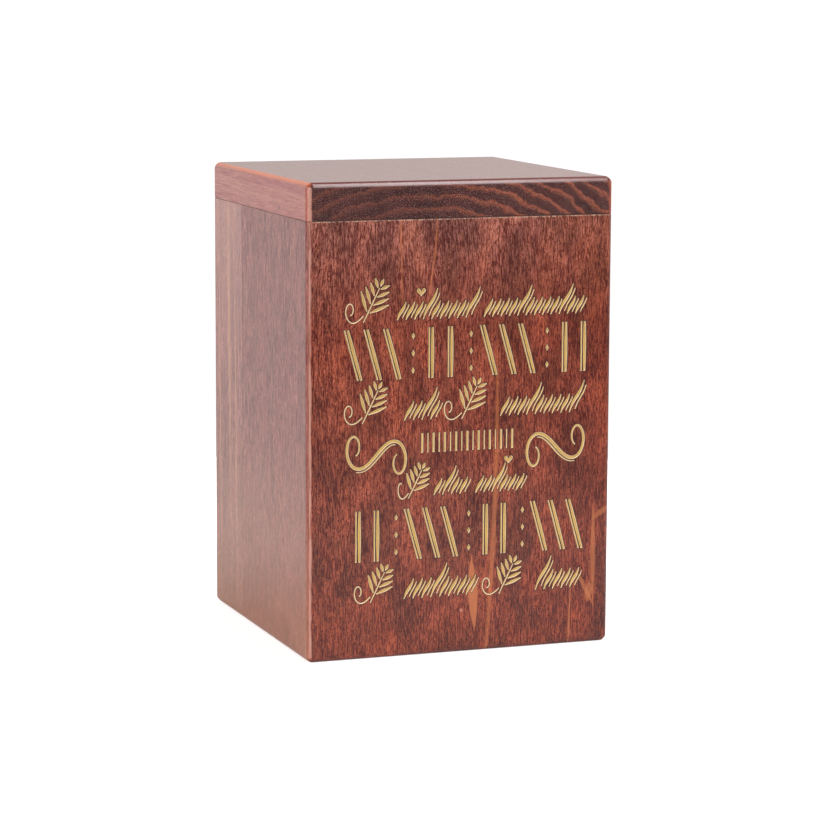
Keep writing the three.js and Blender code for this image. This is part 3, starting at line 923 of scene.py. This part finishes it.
class URN_OT_stage(bpy.types.Operator):
    """Sets up the floor, the lights and the camera"""

    bl_idname = "urn.stage"
    bl_label = "Stage"

    def execute(self, context):
        scene = context.scene
        colours = scene.urn_colours

        shape = bmesh.new()
        bmesh.ops.create_circle(shape, cap_ends=True, segments=96, radius=FLOOR_RADIUS)
        # A light table: lit from below, and so bright that the camera sees plain white. The
        # box gets only a little of its glow.
        to_box, more_to_camera = 0.09, 0.6
        material, tree = new_material("backlit_white_acrylic_floor")
        seen = node(tree, "ShaderNodeLightPath", output="Is Camera Ray")
        glow = node(tree, "ShaderNodeMath", MULTIPLY_ADD, {
            0: seen, 1: more_to_camera, 2: to_box,
        })
        acrylic = node(tree, "ShaderNodeBsdfPrincipled", {}, {
            "Base Color": opaque(colours.floor), "Roughness": 0.9,
            "Emission Color": opaque(colours.floor), "Emission Strength": glow,
        })
        node(tree, "ShaderNodeOutputMaterial", {}, {"Surface": acrylic})
        floor = to_object("studio_floor", shape, material)

        camera = bpy.data.objects.new("camera", bpy.data.cameras.new("camera"))
        scene.collection.objects.link(camera)
        camera.location = CAMERA_PLACE
        turn = Matrix.Rotation(math.radians(CAMERA_HEADING), 4, "Z")
        tilt = Matrix.Rotation(math.radians(90 - CAMERA_TILT), 4, "X")
        roll = Matrix.Rotation(math.radians(CAMERA_ROLL), 4, "Z")
        camera.rotation_euler = (turn @ tilt @ roll).to_euler()
        camera.data.lens = CAMERA_LENS
        camera.data.sensor_width = CAMERA_FILM
        scene.camera = camera

        world = bpy.data.worlds.new("light_tent")
        world.use_nodes = True
        tree = world.node_tree
        tree.nodes.clear()
        add = partial(node, tree)
        way = add("ShaderNodeTexCoord", output="Generated")
        glow = 0.0
        for side, start, stop, strength in (
            (Vector((-1, 0.3, 0)), 0.1, 0.9, 0.3),
            (Vector((-0.15, 1, 0)), 0.3, 0.95, 0.56),
            (Vector((1, 0.2, 0)), 0.1, 0.9, 0.35),
        ):
            facing = add("ShaderNodeVectorMath", {"operation": "DOT_PRODUCT"}, {
                0: way, 1: side.normalized(),
            }, "Value")
            lit = add("ShaderNodeMapRange", {}, {
                "Value": facing, "From Min": start, "From Max": stop, "To Max": strength,
            })
            glow = add("ShaderNodeMath", ADD, {0: glow, 1: lit})
        # The screens stand upright, so their light fades overhead and underfoot. The tent's
        # own light is weak, and the camera sees a plain white backdrop in its place.
        tent_light, backdrop = 0.25, 1.05
        lift = add("ShaderNodeSeparateXYZ", {}, {0: way}, "Z")
        steep = add("ShaderNodeMath", ABSOLUTE, {0: lift})
        upright = add("ShaderNodeMapRange", {}, {
            "Value": steep, "From Min": 0.3, "From Max": 0.55, "To Min": 1, "To Max": 0.25,
        })
        strength = add("ShaderNodeMath", MULTIPLY_ADD, {0: glow, 1: upright, 2: tent_light})
        white = (1, 1, 1, 1)
        tent = add("ShaderNodeBackground", {}, {"Color": white, "Strength": strength})
        plain = add("ShaderNodeBackground", {}, {"Color": white, "Strength": backdrop})
        seen = add("ShaderNodeLightPath", output="Is Camera Ray")
        mixed = add("ShaderNodeMixShader", {}, {0: seen, 1: tent, 2: plain})
        add("ShaderNodeOutputWorld", {}, {"Surface": mixed})
        scene.world = world

        # Each softbox: where it stands, what it points at, its sides and its power in watts
        for name, spot, aim, sides, power in (
            ("overhead_softbox", (0.42, -0.55, 1.3), (0.42, 0, 0.24), (0.22, 1.3), 23),
            ("front_softbox", (-1.0, -1.7, 1.2), (0, 0, 0.12), (0.7, 0.7), 4),
            ("left_softbox", (-1.7, -0.2, 0.55), (0, 0, 0.12), (1.2, 1.2), 14.5),
            ("far_softbox", (1.5, 1.3, 1.0), (0, 0, 0.12), (0.9, 0.9), 10),
        ):
            lamp = bpy.data.lights.new(name, "AREA")
            lamp.shape = "RECTANGLE"
            lamp.size, lamp.size_y = sides
            lamp.energy = power
            light = bpy.data.objects.new(name, lamp)
            light.location = spot
            way = Vector(aim) - Vector(spot)
            light.rotation_euler = way.to_track_quat("-Z", "Y").to_euler()
            light.visible_camera = False
            scene.collection.objects.link(light)
        scene.view_settings.view_transform = "Standard"
        return {"FINISHED"}


# The front's pale patches, under the fine fibres, and its pale grain lines, over them. Each
# has, in millimetres: across, up, half length and half width, then slope, bow, soft edge and
# strength.
FRONT_PATCHES = (
    (53, 218, 42, 7, 0.28, 0, 4, 0.7),
    (71, 208, 40, 9, 0, 0, 5, 0.9),
    (27.5, 100, 16, 3, 0.1, 0, 3, 0.6),
    (77, 125, 24, 2.5, 0, 0, 3, 0.5),
    (17.8, 66, 76, 1.8, 0.04, -1.6, 1.6, 0.6),
)
FRONT_STREAKS = (
    (17.8, 66, 72, 0.7, 0.04, -1.6, 0.9, 0.45),
    (6.6, 30.5, 17.5, 2.1, -0.05, 0, 0.8, 0.75),
    (72.5, 46, 23, 0.9, 0, 0, 0.7, 0.5),
    (76.5, 68, 3.5, 2.0, 1.2, 0, 0.9, 0.45),
    (67.7, 30, 8, 0.8, -0.5, 0, 0.7, 0.5),
    (70.2, 27, 5, 1.5, 0.1, 0, 0.7, 0.5),
    (59.7, 14, 19, 0.3, 0.03, 0, 0.3, 0.65),
    (-14.6, 204, 21, 0.25, 0.11, -1.5, 0.3, 0.55),
    (-32.4, 205, 25, 0.3, -0.02, 0, 0.4, 0.35),
)

# Small spots: a dab of filler near the front's foot and a pin knot in the lid's left side,
# each with its place, radius and strength
FILLER_DABS = ((Vector((0.4 * MM, -HALF_DEPTH, 21.8 * MM)), 1.1 * MM, 0.6),)
PIN_KNOTS = ((Vector((-HALF_WIDTH, -36 * MM, SEAM + 3.5 * MM)), 1.5 * MM, 0.6),)


class URN_OT_front_board(bpy.types.Operator):
    """Makes the engraved front board"""

    bl_idname = "urn.front_board"
    bl_label = "Front board"

    def execute(self, context):
        scene = context.scene
        colours = scene.urn_colours
        tones = mahogany_tones(colours)

        def finish(figure):
            height, across = figure.axes["Z"], figure.axes["X"]
            figure.blotches(0.26)
            # The first two tints are painted shade: the front grows darker and warmer below its
            # top and again towards its foot. The third darkens it towards the right.
            for tint, value, start, stop in (
                (colours.low_painted_shade, height, SEAM, 0.75 * SEAM),
                (colours.foot_painted_shade, height, 0.35 * SEAM, 0.1 * SEAM),
                (colours.right_tint, across, 0, HALF_WIDTH),
            ):
                figure.cover(tint, value, start, stop, 1, blend="MULTIPLY")
            figure.streaks("X", colours.bare_streak, FRONT_STREAKS)
            figure.spots(colours.bare_edge, FILLER_DABS)
            # Painted highlight: a pale dotted line along the front's eased top edge, under the
            # seam
            figure.seam_line(SEAM - 0.4 * MM, 0.15 * MM, colours.gold_painted_highlight, 0.5, True)
            figure.edge_wear_and_shade(worn_uprights(colours))

        wood = stained_wood(
            "stained_hardwood_front", 2, tones, 0, 1.45, patches=FRONT_PATCHES, finish=finish
        )
        shape = wall_shape(scene.urn_sizes, Vector((0, -1, 0)))
        piece = to_object("front_board_wood", shape, wood)
        cut_rebate(piece, scene.urn_sizes)
        paints = [
            scorched_wood(colours),
            # The walls' paler paint is a painted highlight
            gold_paint("pale_gold_painted_highlight_on_walls", colours.gold_painted_highlight),
            gold_paint("gold_acrylic_on_floors", colours.gold),
        ]
        engrave(piece, scene.urn_engraving, paints)
        finish_piece(piece, "front_board")
        return {"FINISHED"}


# The grain lines of the hidden sides, which are plainer, written like the front's
RIGHT_STREAKS = ((22, 130, 90, 1.6, 0.03, 2, 1.0, 0.5), (-41, 40, 30, 1.2, -0.03, 0, 0.6, 0.6))
BACK_STREAKS = ((-36, 160, 70, 2.2, -0.05, 1, 1.2, 0.5), (48, 70, 55, 0.8, 0.02, 2, 0.5, 0.6))


class URN_OT_plain_boards(bpy.types.Operator):
    """Makes the right and back boards"""

    bl_idname = "urn.plain_boards"
    bl_label = "Right and back boards"

    def execute(self, context):
        scene = context.scene
        colours = scene.urn_colours
        tones = mahogany_tones(colours)
        for name, facing, axis, streaks, shift in (
            ("right_board", Vector((1, 0, 0)), "Y", RIGHT_STREAKS, 11),
            ("back_board", Vector((0, 1, 0)), "X", BACK_STREAKS, 23),
        ):

            def finish(figure):
                figure.blotches(0.2)
                figure.streaks(axis, colours.bare_streak, streaks)
                figure.edge_wear_and_shade((("X", "Y", 1, colours.bare_edge, 0.8, 1, 0.6),))

            wood = stained_wood(f"stained_hardwood_{name}", 2, tones, shift, 0.9, 1.4, (), finish)
            piece = to_object(f"{name}_wood", wall_shape(scene.urn_sizes, facing), wood)
            cut_rebate(piece, scene.urn_sizes)
            finish_piece(piece, name)
        return {"FINISHED"}


# The grain lines of the left side's rear strip, written like the front's
REAR_STREAKS = (
    (53, 175, 90, 1.6, 0.01, 0, 1.6, 0.5),
    (41, 110, 110, 0.6, 0.02, 1, 0.6, 0.5),
    (70, 120, 120, 0.5, 0.01, 0, 0.5, 0.5),
)


class URN_OT_left_strips(bpy.types.Operator):
    """Makes the two strips that are glued into the left side"""

    bl_idname = "urn.left_strips"
    bl_label = "Left strips"

    def execute(self, context):
        scene = context.scene
        colours = scene.urn_colours
        front_tones = (colours.side_stain, colours.side_bloom, 0)
        rear_tones = (colours.rear_stain, colours.side_pale, 0.28)
        for name, edge, away, (stain, pale, reflection_share), streaks, shift, stretch in (
            ("left_front_strip", STRIP_BREAK, 1, front_tones, (), 31, 1.8),
            ("left_rear_strip", STRIP_START, -1, rear_tones, REAR_STREAKS, 47, 2.2),
        ):
            tones = (colours.deep_stain, stain, colours.thin_stain, pale)

            def finish(figure):
                # Painted light: the strips grow paler and warmer towards their foot
                figure.cover(colours.side_pale, figure.axes["Z"], 0.5 * SEAM, 0, 0.35)
                # Painted reflection: the rear strip grows paler and greyer towards its top
                figure.cover(colours.rear_painted_reflection, figure.axes["Z"], 0.4 * SEAM, SEAM, reflection_share)
                figure.streaks("Y", colours.side_pale, streaks)
                figure.edge_wear_and_shade(worn_uprights(colours))

            wood = stained_wood(
                f"stained_hardwood_{name}", 2, tones, shift, 1.3, stretch, finish=finish
            )
            shape = wall_shape(scene.urn_sizes, Vector((-1, 0, 0)))
            cut_away(shape, Vector((0, edge, 0)), Vector((0, away, 0)))
            piece = to_object(f"{name}_wood", shape, wood)
            cut_rebate(piece, scene.urn_sizes)
            finish_piece(piece, name)
        return {"FINISHED"}


class URN_OT_bottom_board(bpy.types.Operator):
    """Makes the bottom board"""

    bl_idname = "urn.bottom_board"
    bl_label = "Bottom board"

    def execute(self, context):
        colours = context.scene.urn_colours
        tones = mahogany_tones(colours)
        wood = stained_wood("stained_hardwood_bottom", 0, tones, 59)
        shape = rounded_block(BOTTOM_LOW, BOTTOM_HIGH, 0.2 * MM, 2)
        finish_piece(to_object("bottom_board_wood", shape, wood), "bottom_board")
        return {"FINISHED"}


class URN_OT_lid(bpy.types.Operator):
    """Makes the lift-off lid with its tongue"""

    bl_idname = "urn.lid"
    bl_label = "Lid"

    def execute(self, context):
        scene = context.scene
        sizes, colours = scene.urn_sizes, scene.urn_colours
        tones = (colours.side_stain, colours.lid_stain, colours.thin_stain, colours.side_pale)

        def finish(figure):
            figure.cover(colours.lid_top, figure.facing["Z"], 0.75, 0.97, 0.85)
            figure.end_grain(
                colours.end_grain, colours.end_pore, colours.end_ring, colours.end_speck
            )
            figure.spots(colours.scorch, PIN_KNOTS)
            # Painted shade: a dark line along the lid's eased lower edge, at the seam
            figure.seam_line(SEAM + 0.2 * MM, 0.25 * MM, colours.scorch, 0.9, False)
            figure.edge_wear_and_shade((
                # Painted dark reflection on the upper part of the rounded top front edge
                ("Y", "Z", -1, colours.painted_dark_reflection, 0.1, 0.4, 0.85),
                ("X", "Z", -1, colours.worn_edge, 0.25, 0.95, 0.95),
                ("Y", "X", 1, colours.rubbed_red, 0.55, 0.85, 0.7),
                ("X", "Y", 1, colours.bare_edge, 0.6, 0.9, 0.9),
                ("X", "Y", -1, colours.rubbed_red, 0.5, 0.9, 0.5),
            ))

        wood = stained_wood("stained_hardwood_lid", 1, tones, 67, 0.85, 5, finish=finish)
        shape = rounded_block(CAD_LOW, CAD_HIGH, sizes.edge_round, EDGE_STEPS)
        cut_away(shape, Vector((0, 0, SEAM)), Vector((0, 0, -1)), sizes.seam_ease)
        piece = to_object("lid_wood", shape, wood)

        half = Vector((
            HALF_WIDTH - WALL - sizes.tongue_clearance,
            HALF_DEPTH - WALL - sizes.tongue_clearance,
            0,
        ))
        tongue = rounded_block(
            -half + Vector((0, 0, TONGUE_FOOT)), half + Vector((0, 0, (SEAM + TOP) / 2)), 0, 1
        )
        upright = [e for e in tongue.edges if abs(e.verts[0].co.z - e.verts[1].co.z) > MM]
        round_over(tongue, upright, sizes.tongue_round, EDGE_STEPS)
        foot = [e for e in tongue.edges if max(v.co.z for v in e.verts) < TONGUE_FOOT + MM / 10]
        round_over(tongue, foot, sizes.tongue_ease, EASE_STEPS)
        combine(piece, [to_object("tongue", tongue, wood)], "UNION")
        finish_piece(piece, "lid")
        return {"FINISHED"}


class URN_PT_sidebar(bpy.types.Panel):
    """Lists the urn box's steps, sizes and colours"""

    bl_idname = "URN_PT_sidebar"
    bl_label = "Urn box"
    bl_space_type = "VIEW_3D"
    bl_region_type = "UI"
    bl_category = "Urn box"

    def draw(self, context):
        for operator in OPERATORS:
            self.layout.operator(operator.bl_idname)
        for group in GROUPS:
            values = getattr(context.scene, group)
            for name in values.__annotations__:
                self.layout.prop(values, name)


OPERATORS = (
    URN_OT_stage,
    URN_OT_front_board,
    URN_OT_plain_boards,
    URN_OT_left_strips,
    URN_OT_bottom_board,
    URN_OT_lid,
)
GROUPS = {"urn_sizes": UrnSizes, "urn_engraving": UrnEngraving, "urn_colours": UrnColours}


def register():
    for group_class in GROUPS.values():
        bpy.utils.register_class(group_class)
    for name, group_class in GROUPS.items():
        setattr(bpy.types.Scene, name, bpy.props.PointerProperty(type=group_class))
    for listed in (*OPERATORS, URN_PT_sidebar):
        bpy.utils.register_class(listed)


def unregister():
    for listed in (URN_PT_sidebar, *reversed(OPERATORS)):
        bpy.utils.unregister_class(listed)
    for name, group_class in reversed(GROUPS.items()):
        delattr(bpy.types.Scene, name)
        bpy.utils.unregister_class(group_class)


def main():
    """Builds the whole box."""
    register()
    for operator in OPERATORS:
        group, name = operator.bl_idname.split(".")
        getattr(getattr(bpy.ops, group), name)()


if __name__ == "__main__":
    main()
